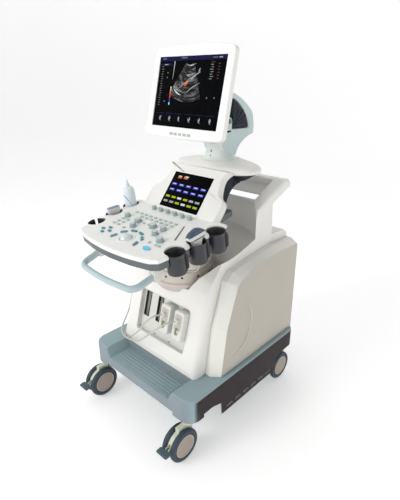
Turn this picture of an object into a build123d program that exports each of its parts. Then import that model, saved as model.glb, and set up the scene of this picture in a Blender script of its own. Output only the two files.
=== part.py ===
from build123d import *
import math
import os

# Trolley ultrasound machine. Millimetres, +Z up, the user stands on the -Y side, +X is the user's right.
# Heights are above the floor. Lengths along Y are first written from the middle of the base, and
# every node is moved by base_to_origin when it is written, which puts the origin under the middle
# of the whole machine.

# ---- driving dimensions ----
base_to_origin = 54.0       # the console overhangs the front, so the base stands this far to the rear

base_width = 571.0
base_length = 664.0
base_top = 242.0
base_front_bottom = 148.0
skirt_bottom = 92.0
base_wall = 5.0
tread_width = 344.0
tread_depth = 104.0
tread_height = 203.0

wheel_radius = 62.5
wheel_width = 21.0
wheel_gap = 18.0
hub_radius = 54.0             # the round housing between the two wheels
caster_x = 242.0
caster_y = 300.0
caster_trail = 42.0
caster_top = 151.0
nose_reach = 62.0            # from the axle to the front of the fork's nose
pedal_pin_reach = 57.0
pedal_pin_z = 68.0

housing_half_width = 210.0
housing_bottom = 243.0
housing_wall = 4.0
front_foot_y = -232.0
front_foot_z = 262.0
front_lean = 15.3           # degrees the front face leans back from upright
corner_radius = 26.0
column_rear_y = 210.0
deck_rear_z = 690.0
body_rear_y = 326.0
side_cover_half_width = 266.0

turret_y = -78.0            # the console swivels about this upright axis
turret_shelf = 548.0
turret_flange_radius = 123.0
turret_collar_radius = 96.0
dish_top_radius = 276.0

panel_width = 272.0
panel_low_z = 312.0
panel_high_z = 482.0
panel_recess = 18.0
port_pitch = 72.0
port_width = 22.0
port_height = 98.0
port_middle_z = 417.0
connector_size = (50.0, 44.0, 112.0)   # across, out of the panel, along the panel

deck_point = (0.0, -220.0, 793.0)
deck_slope = 8.42           # degrees the console top rises towards the rear
deck_thickness = 14.0
tray_thickness = 26.0
cup_pitch = 86.0
cup_radius = 31.0
cup_wall = 3.0
cup_depth = 70.0
cup_offsets = ((207.0, -89.0), (216.0, -3.0), (221.0, 83.0))

trackball_radius = 22.0
encoder_pitch = 37.0
key_travel = 1.5
key_root = 1.2              # how far a key reaches into its pocket at rest
running_clearance = 0.08
trackball_place = (6.0, -118.0)
handle_lug_x = 148.0
handle_lug_y = -352.0

touch_point = (0.0, -51.6, 873.0)
touch_lean = 39.4           # degrees the touch screen leans back from upright
touch_screen_size = (195.0, 146.0)

neck_y = 133.0              # the monitor arm swivels about this upright axis
neck_radius = 50.0
neck_foot_z = 975.0
tilt_y = 134.0
tilt_z = 1112.0

screen_point = (0.0, -38.0, 1216.0)
screen_lean = 13.7
screen_size = (312.0, 234.0)
bezel_half_width = 188.0
bezel_high = 144.0
bezel_low = -148.5
bezel_chin = 6.5

cable_diameter = 6.5
cable_cut_z = 654.0         # the cables pass from the still body to the console at this height


def tilted(point, lean_from_level):
    """Plane through a point, level along X, whose normal leans forward off the vertical."""
    a = math.radians(lean_from_level)
    return Plane(origin=point, x_dir=(1, 0, 0), z_dir=(0, -math.sin(a), math.cos(a)))


deck = tilted(deck_point, deck_slope)
touch = tilted(touch_point, 90 - touch_lean)
screen = tilted(screen_point, 90 - screen_lean)


def front_y(z, inset=0.0):
    """Y of the leaning front face at a height, moved inwards by an inset."""
    a = math.radians(front_lean)
    return front_foot_y + (z - front_foot_z) * math.tan(a) + inset / math.cos(a)


front = tilted((0, front_y(port_middle_z, panel_recess), port_middle_z), 90 - front_lean)

# window of the recessed plate, on the front face
window_z = (panel_low_z + panel_high_z) / 2
window = tilted((0, front_y(window_z), window_z), 90 - front_lean)
panel_length = (panel_high_z - panel_low_z) / math.cos(math.radians(front_lean))

# middle of the recessed plate along its plane, measured from the middle of the sockets
panel_middle = ((window_z - port_middle_z) / math.cos(math.radians(front_lean))
                - panel_recess * math.tan(math.radians(front_lean)))


def box(x0, x1, y0, y1, z0, z1):
    return Pos((x0 + x1) / 2, (y0 + y1) / 2, (z0 + z1) / 2) * Box(x1 - x0, y1 - y0, z1 - z0)


def side_prism(points, half_width):
    """Solid of a side outline given as (y, z) points, from -half_width to +half_width in X."""
    face = make_face(Plane.YZ * Polyline(*points, close=True))
    return extrude(face, half_width, both=True)


def round_box(plane, width, length, low, high, radius):
    """Block on a plane with its four standing edges rounded, between two heights over the plane."""
    flat = plane.offset(low) * RectangleRounded(width, length, radius)
    return extrude(flat, high - low, dir=plane.z_dir)


def rounded(solid, edges, radius):
    """Fillet that falls back to a smaller radius where the corner is too tight."""
    for r in (radius, radius * 0.6, radius * 0.3):
        try:
            result = fillet(edges, r)
            if result.is_valid:
                return result
        except Exception:
            continue
    print("left sharp:", radius)
    return solid


nodes = {}


def keep(name, *solids):
    shape = solids[0] if len(solids) == 1 else Compound(children=list(solids))
    nodes[name] = shape


# ---- base ----
def make_base_cover():
    """Moulded cover over the chassis: drop skirts between the casters and a step at the front."""
    half_w, half_l = base_width / 2, base_length / 2
    plan = RectangleRounded(base_width, base_length, 48)
    outer = extrude(Pos(0, 0, skirt_bottom) * plan, base_top - skirt_bottom)
    outer = rounded(outer, outer.edges().group_by(Axis.Z)[-1], 10)
    rise, spread = base_top + 10 - tread_height, 26
    half_tread = tread_width / 2
    step_section = [(-half_tread, tread_height), (half_tread, tread_height),
                    (half_tread + spread, tread_height + rise), (-half_tread - spread, tread_height + rise)]
    step_face = make_face(Plane.XZ.offset(half_l + 5) * Polyline(*step_section, close=True))
    step = extrude(step_face, tread_depth + 5, dir=(0, 1, 0))
    outer -= step
    inner_plan = RectangleRounded(base_width - 2 * base_wall, base_length - 2 * base_wall, 44)
    inner = extrude(inner_plan, base_top - base_wall)
    step_shell = box(-half_tread - spread - base_wall, half_tread + spread + base_wall, -half_l - 5,
                     -half_l + tread_depth + base_wall, tread_height - base_wall, 300)
    cover = outer - (inner - step_shell)
    whole = cover
    for end, start_y in ((-1, -160.0), (1, 183.0)):
        reach = end * (half_l + 5)
        arch = [(start_y, 60), (start_y + end * 8, base_front_bottom), (start_y + end * 55, 162),
                (reach, 162), (reach, 60)]
        cover -= side_prism(arch, half_w + 5)
    for side in (-1, 1):
        pod = box(min(side * 196, side * 290), max(side * 196, side * 290), -half_l - 5, -half_l + 70,
                  base_front_bottom, 165)
        cover += whole & pod
    for side in (-1, 1):
        for y in range(-120, 131, 50):
            cover -= Pos(side * half_w, y, 112) * Box(2 * base_wall + 4, 36, 8)
    post_hole = box(-120, 120, -170, 250, base_top - 20, base_top + 5)
    keep("base_cover", cover - post_hole)


def make_base_frame():
    """Welded steel chassis with caster plates and the two posts that carry the turret."""
    plate_low, rail_low, rail_high = caster_top, caster_top + 6, caster_top + 41
    reach = base_length / 2 - 14
    frame = box(-175, -135, -reach, reach, rail_low, rail_high)
    frame += box(135, 175, -reach, reach, rail_low, rail_high)
    for y in (-caster_y, turret_y, 120, caster_y):
        frame += box(-140, 140, y - 18, y + 18, rail_low, rail_high)
    for side in (-1, 1):
        for end in (-1, 1):
            x, y = side * caster_x, end * caster_y
            frame += box(min(x, side * 135), max(x, side * 135), y - 20, y + 20, plate_low, rail_low)
            frame += Pos(x, y, plate_low) * extrude(Circle(25), rail_low - plate_low)
    for x in (-80, 80):
        frame += box(x - 15, x + 15, turret_y - 18, turret_y + 18, rail_low, turret_shelf - 6)
    frame += Pos(0, turret_y, turret_shelf - 10) * extrude(Circle(turret_collar_radius - 4), 10)
    keep("base_frame", frame)


# ---- casters ----
def along_x(x, y, z, radius, length):
    """Cylinder lying along X about a point."""
    return Pos(x, y, z) * (Rot(0, 90, 0) * Cylinder(radius, length))


def make_caster(name, x, y):
    """Twin-wheel caster trailing towards the front, with a hinge fork in its nose for a pedal."""
    axle_y = y - caster_trail
    half_gap = wheel_gap / 2
    outer = half_gap + wheel_width
    half_spine = half_gap - 0.5
    hub = along_x(x, axle_y, wheel_radius, hub_radius, 2 * half_spine)
    spine = box(x - half_spine, x + half_spine, axle_y - 12, y + 12, wheel_radius - 14, caster_top - 18)
    nose = box(x - half_spine, x + half_spine, axle_y - nose_reach, axle_y, pedal_pin_z - 9, pedal_pin_z + 9)
    slot = box(x - 4.3, x + 4.3, axle_y - nose_reach - 5, axle_y - 44, pedal_pin_z - 20, pedal_pin_z + 20)
    pin = along_x(x, axle_y - pedal_pin_reach, pedal_pin_z, 3, 2 * half_spine)
    head = Pos(x, y, caster_top - 20) * extrude(Circle(24), 18)
    stem = Pos(x, y, caster_top - 3) * extrude(Circle(9), 2.7)
    axle = along_x(x, axle_y, wheel_radius, 6, 2 * outer - 4)
    keep(f"caster_fork_{name}", (hub + spine + nose - slot) + pin + head + stem + axle)
    wheels = []
    for side in (-1, 1):
        centre = Pos(x + side * (half_gap + wheel_width / 2), axle_y, wheel_radius) * Rot(0, 90, 0)
        wheel = Cylinder(wheel_radius, wheel_width)
        wheel = rounded(wheel, wheel.edges().filter_by(GeomType.CIRCLE), 5)
        wheels.append(centre * (wheel - Cylinder(6 + running_clearance, wheel_width + 1)))
    keep(f"caster_wheels_{name}", *wheels)


def make_brake_pedal(name, x, y):
    """Foot pedal in front of a front caster, on the cross pin in the fork's nose."""
    axle_y = y - caster_trail
    front_edge = axle_y - nose_reach - 3.5
    pedal = round_box(Plane((x, front_edge - 13, pedal_pin_z + 2)), 52, 26, 0, 7, 6)
    arm = box(x - 4, x + 4, front_edge - 18, axle_y - 50, pedal_pin_z - 6, pedal_pin_z + 6)
    keep(f"brake_pedal_{name}", (pedal + arm) - along_x(x, axle_y - pedal_pin_reach, pedal_pin_z,
                                                   3 + running_clearance, 60))


# ---- upright body ----
def dish(grow):
    """Round hollow about the swivel axis in which the console turns, grown by a wall."""
    r, z = turret_flange_radius + 7 + grow, turret_shelf - grow
    outline = [(0, z), (r, z), (r + 20, z + 50), (r + 70, z + 108), (r + 110, z + 134),
               (dish_top_radius + grow, z + 152), (dish_top_radius + grow, 900), (0, 900)]
    return Pos(0, turret_y, 0) * revolve(make_face(Plane.XZ * Polyline(*outline, close=True)), Axis.Z)


def body_outline(inset=0.0):
    """Side outline (y, z) of the middle housing."""
    i = inset
    low = housing_bottom - (40 if inset else 0)
    return [(front_y(front_foot_z, i), low), (front_y(front_foot_z, i), front_foot_z + i),
            (front_y(560, i), 560), (-134 + i, 594 - i), (-92 + i, 664 - i), (-70 + i, 682 - i),
            (0, 693 - i), (66, 697 - i), (84, 706), (113 + i, 812 - i), (206 - i, 816 - i),
            (column_rear_y - i, 700), (column_rear_y - i, deck_rear_z - i), (292, deck_rear_z - i),
            (316 - i, deck_rear_z - 16 - i), (body_rear_y - i, deck_rear_z - 42), (body_rear_y - i, low)]


def round_front(prism, half_width, radius):
    """Rounds the two long front corners of the housing's prism."""
    corners = [e for e in prism.edges() if abs(abs(e.center().X) - half_width) < 1
               and e.center().Y < -100 and e.center().Z < 590 and e.length > 40]
    return rounded(prism, corners, radius)


def make_centre_housing():
    """Front column, turret shelf, cheeks and rear column, moulded in one piece."""
    outer = round_front(side_prism(body_outline(), housing_half_width), housing_half_width, corner_radius)
    inner_half = housing_half_width - housing_wall
    inner = round_front(side_prism(body_outline(housing_wall), inner_half), inner_half,
                        corner_radius - housing_wall)
    shell = (outer - dish(0)) - (inner - dish(housing_wall))
    opening = box(-housing_half_width + 40, housing_half_width - 40, body_rear_y - 30, body_rear_y + 20,
                  290, deck_rear_z - 90)
    shell -= round_box(window, panel_width, panel_length, -panel_recess - 8, 20, 12)
    shell -= Pos(0, turret_y, turret_shelf - 20) * extrude(Circle(104), 40)
    keep("centre_housing", shell - opening)


def make_rear_handle():
    """Lifting handle: two arms that lean back off the column and a cross bar."""
    outline = [(113, 812.3), (206, 816.3), (316, 862), (318, 880), (304, 895), (276, 895)]
    loop = side_prism(outline, 215)
    loop = rounded(loop, [e for e in loop.edges().filter_by(Axis.X) if e.center().Z > 850], 7)
    hole = [(60, 700), (236, 829), (282, 862), (262, 905), (40, 905)]
    loop -= side_prism(hole, 163)
    corners = [e for e in loop.edges() if abs(abs(e.center().X) - 215) < 1 and e.center().Z > 870
               and e.length > 15]
    loop = rounded(loop, corners, 8)
    keep("rear_handle", loop - dish(0))


def side_outline(inset):
    """Side outline (y, z) of a side cover, moved inwards by an inset."""
    i = inset
    return [(-176 + i, housing_bottom), (-146 + i, 430), (-90 + i, 600 - i * 0.5), (-58 + i * 0.7, 628 - i),
            (40, 642 - i * 0.4), (194, 656 - i * 0.6), (body_rear_y - 6 - i * 0.2, 652 - i * 0.6),
            (body_rear_y - i * 0.2, 634 - i * 0.6), (body_rear_y - i * 0.2, housing_bottom)]


def make_side_cover(name, side):
    """Outer side shell with a bevelled rim and a round-ended crescent hollow."""
    inner_x, rim_x, outer_x = housing_half_width + 0.2, housing_half_width + 24, side_cover_half_width
    low = Plane.YZ.offset(rim_x) * Polyline(*side_outline(0), close=True)
    high = Plane.YZ.offset(outer_x) * Polyline(*side_outline(26), close=True)
    block = extrude(make_face(Plane.YZ.offset(inner_x) * Polyline(*side_outline(0), close=True)),
                    rim_x - inner_x, dir=(1, 0, 0))
    block += loft([make_face(low), make_face(high)])
    cavity = extrude(make_face(Plane.YZ.offset(inner_x - 1) * Polyline(*side_outline(5), close=True)),
                     rim_x - inner_x - 4, dir=(1, 0, 0))
    cavity += loft([make_face(Plane.YZ.offset(rim_x - 5.2) * Polyline(*side_outline(5), close=True)),
                    make_face(Plane.YZ.offset(outer_x - 4) * Polyline(*side_outline(32), close=True))])
    shell = block - cavity
    shell += box(outer_x - 12, outer_x - 2, -80, 44, 288, 542)
    tilt_in = Pos(outer_x, -100, 415) * Rot(0, 0, 2.7)
    shell -= tilt_in * Pos(20, 15, 0) * (Rot(0, 90, 0) * Cylinder(113, 40))
    shell = shell if side > 0 else mirror(shell, Plane.YZ)
    keep(name, shell)


def make_rear_cover():
    """Back panel with louvres and a hole for the mains inlet, let into the housing's rear wall."""
    half = housing_half_width - 40.4
    low, high = 290.4, deck_rear_z - 90.4
    panel = box(-half, half, body_rear_y - 4, body_rear_y + 6, low, high)
    for z in range(430, 571, 14):
        panel -= box(-110, 110, body_rear_y - 10, body_rear_y + 10, z, z + 6)
    panel -= box(70, 110, body_rear_y - 10, body_rear_y + 10, 320, 352)
    for x in (-50, 50):
        for z in (360, 400):
            panel -= Pos(x, body_rear_y, z) * (Rot(90, 0, 0) * Cylinder(2.5, 40))
    keep("rear_cover", panel)


def make_rear_fittings():
    """Mains inlet with its switch, and the earth stud."""
    inlet = box(70.2, 109.8, body_rear_y - 26, body_rear_y + 5, 320.2, 351.8)
    inlet -= box(76, 104, body_rear_y - 12, body_rear_y + 6, 326, 345)
    pins = [Pos(x, body_rear_y - 6, z) * (Rot(90, 0, 0) * Cylinder(2, 14.5))
            for x, z in ((82, 332), (98, 332), (90, 339))]
    stud = Pos(20, body_rear_y + 11, 336) * (Rot(90, 0, 0) * Cylinder(4, 10))
    keep("rear_fittings", inlet, *pins, stud)


def make_connector_panel():
    """Recessed front plate in a shallow tray, with four probe sockets behind it."""
    gap, wall = 0.8, 5.2
    plate = round_box(window, panel_width - gap, panel_length - gap, -panel_recess - 3, -0.4, 11.6)
    plate -= round_box(window, panel_width - gap - wall, panel_length - gap - wall, -panel_recess, 1, 9)
    for i in range(4):
        x = (i - 1.5) * port_pitch
        shell = front.location * Pos(x, 0, -20) * Box(port_width + 10, port_height + 10, 37)
        hole = front.location * Pos(x, 0, -12) * Box(port_width, port_height, 40)
        plate = plate + shell - hole
    keep("connector_panel", plate)


def make_probe_connectors():
    """The two plugged probe connectors: housing, plug blade and olive strain relief each."""
    across, out, along = connector_size
    solids = []
    for i in (2, 3):
        place = front.location * Pos((i - 1.5) * port_pitch, 0, 0)
        body = Pos(0, -4.5, 0.2 + out / 2) * Box(across, along, out)
        body = rounded(body, body.edges().filter_by(Axis.Z), 9)
        body = rounded(body, body.edges().group_by(Axis.Z)[-1], 5)
        blade = Pos(0, 0, -10) * Box(port_width - 1, port_height - 1, 20.4)
        relief = Pos(0, along * 0.14, out + 0.2) * extrude(Circle(9.5), 17)
        relief = rounded(relief, relief.edges().group_by(Axis.Z)[-1], 5)
        lock = Pos(0, -along * 0.22, out + 0.2) * extrude(Circle(9), 5)
        solids += [place * (body + blade), place * relief, place * lock]
    keep("probe_connectors", *solids)


def make_electronics():
    """Card cage with its boards, the power supply and the cooling fan, inside the housing."""
    cage = box(-120, 120, 20, 290, 272, 520) - box(-117, 117, 10, 287, 275, 517)
    boards = [box(x - 1, x + 1, 35, 280, 275.2, 500) for x in range(-90, 91, 30)]
    supply = box(-115, 115, 40, 245, 205, 262)
    fan = Pos(0, 300, 470) * (Rot(90, 0, 0) * (Cylinder(58, 24) - Cylinder(18, 26)))
    keep("electronics_module", cage, *boards, supply, fan)


def make_turret_base():
    """Fixed half of the swivel: flange, screw band and bearing sleeve."""
    r = turret_flange_radius
    profile = [(40, turret_shelf), (r - 6, turret_shelf), (r, turret_shelf + 6), (r, turret_shelf + 16),
               (r - 6, turret_shelf + 20), (r - 6, turret_shelf + 58), (r - 14, turret_shelf + 64),
               (40, turret_shelf + 64)]
    ring = revolve(make_face(Plane.XZ * Polyline(*profile, close=True)), Axis.Z)
    collar_profile = [(turret_collar_radius, turret_shelf - 26), (r - 8, turret_shelf),
                      (turret_collar_radius, turret_shelf)]
    collar = revolve(make_face(Plane.XZ * Polyline(*collar_profile, close=True)), Axis.Z)
    collar = Pos(0, turret_y, 0) * collar - side_prism(body_outline(), housing_half_width)
    collar &= box(-200, 200, -400, turret_y, 480, 600)
    ring = Pos(0, turret_y, 0) * ring + collar
    for i in range(12):
        a = math.radians(30 * i + 15)
        x, y = (r - 6) * math.cos(a), turret_y + (r - 6) * math.sin(a)
        ring -= Pos(x, y, turret_shelf + 42) * Sphere(4)
    keep("turret_base", ring)


def make_cover_screws():
    """Screws that hold the connector panel."""
    screws = []
    for x in (-125, -42, 42, 125):
        for v in (panel_length / 2 - 7, -panel_length / 2 + 9):
            screws.append(front.location * Pos(x, panel_middle + v, 0.05) * extrude(Circle(3.2), 2))
    keep("panel_screws", *screws)


# ---- console ----
def deck_outline(grow):
    """Plan of the console top on the deck plane, without the hollows for the cups."""
    g = grow
    left = [(-226 - g, 134), (-214 - g, -120), (-206 - g, -156 - g * 0.5), (-182, -172 - g)]
    right = [(182, -172 - g), (206 + g, -156 - g * 0.5), (214 + g, -120), (226 + g, 134)]
    bow = ThreePointArc(left[-1], (0, -194 - g), right[0])
    return make_face([bow, Polyline(*right, *left)])


def cup_places(side):
    return [Pos(side * x, v, 0) for x, v in cup_offsets]


def make_console_deck():
    """White console top with a bay beside each cup."""
    top = extrude(deck.offset(-deck_thickness) * deck_outline(0), deck_thickness, dir=deck.z_dir)
    top = rounded(top, [e for e in top.edges() if e.length > 100
                        and abs(deck.to_local_coords(e.center()).Z) < 0.5], 7)
    for side in (-1, 1):
        for place in cup_places(side):
            top -= deck.location * place * extrude(Circle(cup_radius + 2), 60, both=True)
    ball_hole = extrude(Circle(trackball_radius + 0.6), 40, both=True)
    ball_hole = deck.location * Pos(*trackball_place, 0) * ball_hole
    pockets = [key_block(key, 0.4, -key_root - key_travel - 0.4, 5) for key in function_keys + teal_keys]
    pockets.append(deck.location * Pos(*freeze_place, -key_root - key_travel - 0.4)
                   * extrude(Ellipse(15.4, 9.4), 10))
    keep("console_deck", top - ball_hole - pockets)


def make_console_tray():
    """Dark tray under the deck, and the riser behind it that carries the touch panel and the arm."""
    low = -deck_thickness - tray_thickness
    tray = extrude(deck.offset(low) * deck_outline(-3), tray_thickness - 0.2, dir=deck.z_dir)
    for side in (-1, 1):
        for place in cup_places(side):
            tray -= deck.location * place * extrude(Circle(cup_radius + 0.8), 60, both=True)
    ball_x, ball_v = trackball_place
    tray -= deck.location * Pos(ball_x, ball_v, -31) * extrude(Circle(trackball_radius + 3), 40)
    tray += deck.location * Pos(0, 190, low + tray_thickness / 2 - 0.1) * Box(300, 140, tray_thickness - 0.2)
    riser = [(-80, 776), (-70, 806), (20, 935), (196, 935), (150, 900), (60, 860), (35, 812), (30, 792)]
    keep("console_tray", tray + side_prism(riser, 150))


def make_console_pan():
    """Pale underside of the console and the drum that turns on the turret."""
    under = deck.offset(-deck_thickness - tray_thickness)
    top_face = under.offset(-0.2) * Pos(0, -28, 0) * RectangleRounded(330, 270, 60)
    low_face = under.offset(-34) * Pos(0, -24, 0) * RectangleRounded(290, 232, 60)
    pan = loft([low_face, top_face])
    sheet = under.offset(-6) * Pos(0, -80, 0) * RectangleRounded(350, 150, 30)
    pan += extrude(sheet, 5.8, dir=deck.z_dir)
    pan += Pos(0, turret_y, turret_shelf + 65) * extrude(Circle(turret_flange_radius - 12), 200)
    pan += Pos(0, turret_y, turret_shelf + 6) * extrude(Circle(39), 70)
    for x in (-handle_lug_x, handle_lug_x):
        pan += box(x - 14, x + 14, handle_lug_y, handle_lug_y + 36, 672, 712)
    above = under.offset(-0.2).location * Pos(0, 0, 100) * Box(900, 900, 200)
    keep("console_pan", pan - above)


def make_front_handle():
    """Push bar under the console's front edge, let on to the two lugs of the pan."""
    x, y = handle_lug_x, handle_lug_y
    path = FilletPolyline((-x, y + 6, 686), (-143, -424, 664), (0, -440, 664), (143, -424, 664),
                          (x, y + 6, 686), radius=[34, 600, 34])
    section = Plane(origin=path @ 0, z_dir=path % 0) * Ellipse(12, 10)
    bar = sweep(section, path, transition=Transition.ROUND)
    keep("front_handle", bar - box(-200, 200, y, y + 60, 600, 760))


def make_cups(name, side):
    """Three probe cups in one moulding, each with a cable slit and a hole in its floor."""
    rack = None
    for place in cup_places(side):
        wall = extrude(Circle(cup_radius), cup_depth)
        wall -= Pos(0, 0, 4) * extrude(Circle(cup_radius - cup_wall), 80)
        wall -= extrude(Circle(9), 20, both=True)
        turn = 28 if side > 0 else 152
        slit = Rot(0, 0, turn) * box(8, cup_radius + 8, -4.5, 4.5, -5, cup_depth + 5)
        fin = Rot(0, 0, turn) * box(cup_radius - 2, cup_radius + 9, 5, 8, 6, cup_depth - 1)
        cup = place * Pos(0, 0, -6 - cup_depth) * (wall - slit + fin)
        rack = cup if rack is None else rack + cup
    for (x0, v0), (x1, v1) in zip(cup_offsets, cup_offsets[1:]):
        middle = Pos(side * ((x0 + x1) / 2 - 8), (v0 + v1) / 2, -deck_thickness - tray_thickness - 4)
        rack += middle * Box(12, cup_pitch - 2 * cup_radius + 4, 8)
    keep(name, deck.location * rack)


def make_trackball():
    keep("trackball", deck.location * Pos(*trackball_place, -6) * Sphere(trackball_radius))


# keys on the deck: x, distance along the deck from its reference point, width, length, turn
function_keys = ([(-129 + 26 * i, 40, 14, 9, 0) for i in range(9)]
                 + [(-79 + 26 * i, 22, 14, 9, 0) for i in range(7)]
                 + [(x, v, 14, 9, 0) for v in (-24, -44, -64) for x in (-131, -105)]
                 + [(-67, -71, 12, 8, 0), (-30, -11, 10, 8, 0), (-4, -12, 10, 8, 0), (99, -96, 9, 9, 0),
                    (139, -98, 24, 7, 0)])
teal_keys = [(-128, -114, 14, 9, 0), (-108, -97, 14, 9, 0), (-109, -132, 14, 9, 0), (-90, -115, 14, 9, 0),
             (-47, -128, 24, 9, 75), (-38, -92, 24, 9, 42), (-10, -70, 24, 9, 14), (27, -70, 24, 9, -14),
             (57, -92, 24, 9, -42), (66, -127, 24, 9, -75)]
freeze_place = (122.0, -128.0)


def key_block(key, grow, low, high):
    """Rounded block of one key between two heights over the deck, its outline grown all round."""
    x, v, width, length, turn = key
    plan = RectangleRounded(width + 2 * grow, length + 2 * grow, 3 + grow)
    return deck.location * Pos(x, v, low) * Rot(0, 0, turn) * extrude(plan, high - low)


def make_keys():
    """Small round-cornered keys, each standing in a pocket of the deck with room for its travel."""
    keep("function_keys", *[key_block(key, 0, -key_root, 3) for key in function_keys])
    keep("teal_keys", *[key_block(key, 0, -key_root, 3.5) for key in teal_keys])
    freeze = Pos(*freeze_place, -key_root) * extrude(Ellipse(15, 9), key_root + 4)
    keep("freeze_key", deck.location * freeze)


# name, x, along the deck, radius, height
knob_table = (("gain_knob_left", -132, -2, 11, 13), ("mode_knob_left", -60, -12, 13, 12),
              ("menu_knob_left", -44, -48, 11, 13), ("mode_knob_right", 23, -14, 13, 12),
              ("menu_knob_right", 72, -11, 11, 13), ("gain_knob_right", 72, -48, 11, 13),
              ("zoom_knob", 124, -72, 12, 14))


def make_knobs():
    for name, x, v, radius, height in knob_table:
        knob = extrude(Circle(radius), height, taper=4)
        knob = rounded(knob, knob.edges().group_by(Axis.Z)[-1], 2)
        knob += extrude(Circle(radius + 2), 1.5)
        keep(name, deck.location * Pos(x, v, 0.3) * knob)


def make_encoders():
    """Six soft-key encoders in a row below the touch screen."""
    for i in range(6):
        knob = extrude(Circle(9), 13, taper=4)
        knob = rounded(knob, knob.edges().group_by(Axis.Z)[-1], 2)
        place = deck.location * Pos((i - 2.5) * encoder_pitch, 94, 0.3)
        keep(f"encoder_{i + 1}", place * knob)


def make_touch_housing():
    """White casing of the touch panel, with shoulders and a saddle under the monitor arm."""
    lean = math.radians(touch_lean)

    def face_point(v, depth=0.0):
        y = touch_point[1] + v * math.sin(lean) + depth * math.cos(lean)
        z = touch_point[2] + v * math.cos(lean) - depth * math.sin(lean)
        return (y, z)

    low = [face_point(-86), face_point(8), (face_point(8)[0] + 34, face_point(8)[1] - 6),
           (face_point(-86)[0] + 66, face_point(-86)[1] + 3)]
    shoulders = side_prism(low, 182)
    tall_edges = [e for e in shoulders.edges() if abs(abs(e.center().X) - 182) < 1
                  and e.center().Y < face_point(-30)[0] + 3]
    shoulders = rounded(shoulders, tall_edges, 14)
    high = [face_point(-40), face_point(106), (40, 968), (120, 975), (120, 936), (20, 936),
            (face_point(-40)[0] + 60, face_point(-40)[1])]
    tower = side_prism(high, 145)
    for side in (-1, 1):
        wedge = Plane.XY.offset(700) * Polyline((side * 190, -200), (side * 118, 60), (side * 190, 60),
                                                close=True)
        cut = extrude(make_face(wedge), 400) & box(-200, 200, face_point(30)[0], 60, 800, 1000)
        tower -= cut
    plan = Pos(0, neck_y - 12, 936) * Ellipse(192, 100)
    wing = extrude(plan, 30, taper=10)
    ring = Pos(0, neck_y, 960) * extrude(Circle(86), 14, taper=20)
    casing = shoulders + tower + wing + ring
    pocket = touch.location * Pos(0, 0, -1) * Box(touch_screen_size[0], touch_screen_size[1], 4)
    casing -= pocket
    casing -= Pos(0, neck_y, 900) * extrude(Circle(30), 200)
    riser_cut = [(-86, 760), (-70.5, 805.5), (19.5, 935.5), (196, 935.5), (196, 760)]
    casing -= side_prism(riser_cut, 151)
    low_cut = deck.location * Pos(0, 0, -99.5) * Box(900, 900, 200)
    keep("touch_housing", casing - low_cut)


def make_touch_screen():
    width, length = touch_screen_size
    keep("touch_screen", touch.location * Pos(0, 0, -1.9) * Box(width - 0.4, length - 0.4, 2))


def cup_frame(side, index):
    """Frame at a cup's inner floor, its Z along the cup towards the mouth."""
    x, v = cup_offsets[index]
    return deck.location * Pos(side * x, v, -cup_depth - 2)


def make_probes():
    """Linear probe in the middle left cup and convex probe in the middle right cup."""
    body = extrude(RectangleRounded(24, 34, 8), 62) + Pos(0, 0, 62) * extrude(RectangleRounded(22, 52, 9), 32)
    keep("linear_probe", cup_frame(-1, 1) * Pos(0, 0, 0.3) * Rot(0, 0, -12) * body)
    grip = extrude(RectangleRounded(26, 32, 9), 80)
    head = Pos(0, 0, 62) * (Rot(0, 90, 0) * Cylinder(48, 26))
    head &= Pos(0, 0, 103) * Box(60, 84, 54)
    keep("convex_probe", cup_frame(1, 1) * Pos(0, 0, 0.3) * (grip + head))


def make_gel_bottle():
    """Squeeze bottle standing in the rear left cup."""
    profile = [(0, 0), (23, 0), (24.5, 4), (24.5, 108), (19, 122), (9, 130), (8, 134), (8, 142), (5, 146),
               (2.5, 172), (0, 172)]
    bottle = revolve(make_face(Plane.XZ * Polyline(*profile, close=True)), Axis.Z)
    keep("gel_bottle", cup_frame(-1, 2) * Pos(0, 0, 0.3) * bottle)


# ---- monitor ----
def make_neck_arm():
    """Swivelling neck that leans back and folds forward again behind the monitor."""
    post = Pos(0, neck_y, neck_foot_z) * extrude(Circle(neck_radius), 62)
    flare = Pos(0, neck_y, neck_foot_z) * extrude(Circle(neck_radius + 14), 14, taper=45)
    limb = [(86, 1010), (86, 1062), (112, 1082), (262, 1076), (252, 1140), (196, 1176), (150, 1196),
            (156, 1212), (220, 1184), (276, 1138), (287, 1086), (284, 1058), (240, 1048), (204, 1028),
            (182, 1004), (182, 985), (120, 985)]
    arm = side_prism(limb, 47)
    arm = rounded(arm, [e for e in arm.edges().filter_by(Axis.X) if e.center().Y > 200], 6)
    pin_lugs = box(-47, -30, 104, 150, 1070, 1126) + box(30, 47, 104, 150, 1070, 1126)
    pin = Pos(0, tilt_y, tilt_z) * (Rot(0, 90, 0) * Cylinder(6, 90))
    keep("neck_arm", post + flare + arm + pin_lugs + pin)


def make_tilt_shroud():
    """Dark filler panels inside the arm's fold."""
    outline = [(160, 1084), (160, 1190), (195.5, 1174), (245, 1137), (254, 1084)]
    keep("tilt_shroud", side_prism(outline, 44))


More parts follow.
